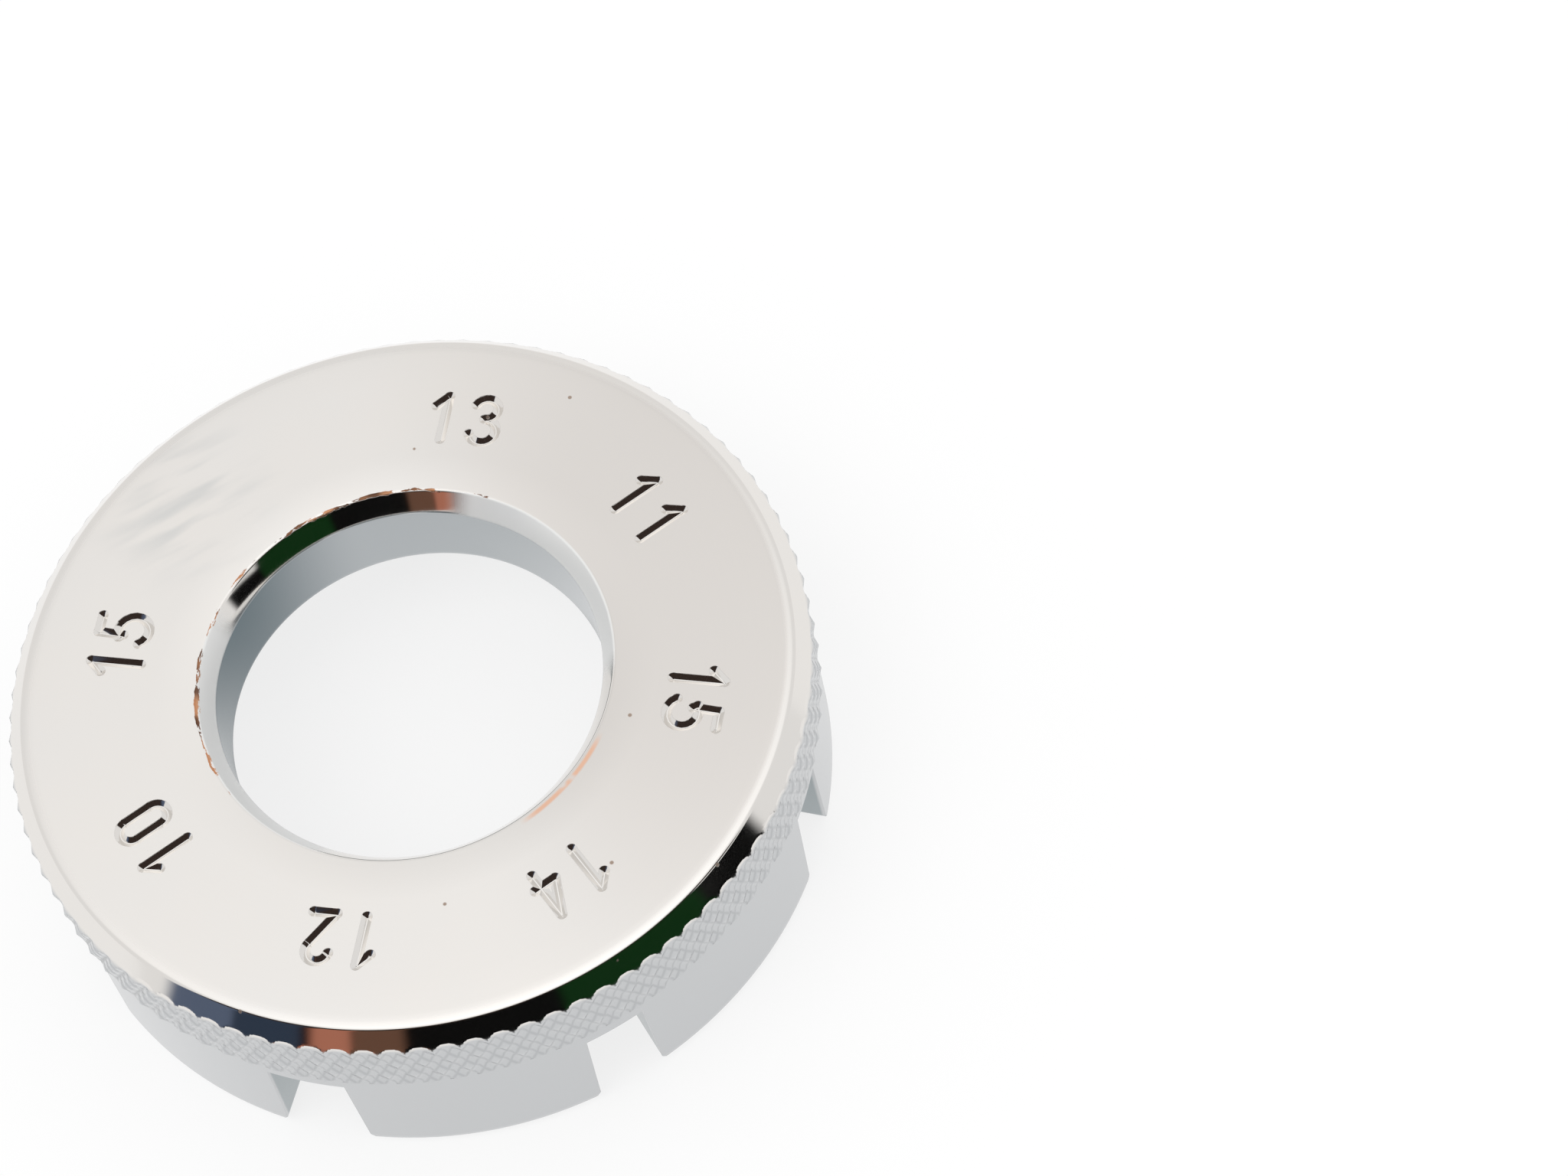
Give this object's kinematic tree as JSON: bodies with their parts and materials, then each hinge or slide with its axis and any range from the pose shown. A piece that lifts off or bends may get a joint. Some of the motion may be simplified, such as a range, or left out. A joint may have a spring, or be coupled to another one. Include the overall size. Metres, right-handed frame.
{
  "type": "spoke wrench",
  "caption": "Ring-shaped chromed spoke wrench: a disc with a centre bore, a knurled rim and jaws with slots between them that grip spoke nipples of different gauges.",
  "frame": {"origin": "on the bore axis, in the plane of the jaw tips that the wrench stands on", "axes": "+Z along the bore axis towards the numbered face, +X through the slot marked 11, -X through the slot marked 10"},
  "size_m": [0.045, 0.045, 0.0134],
  "materials": {
    "chrome_plate": "polished"
  },
  "bodies": {
    "root": {"wrench_body": "chrome_plate"}
  },
  "joints": []
}
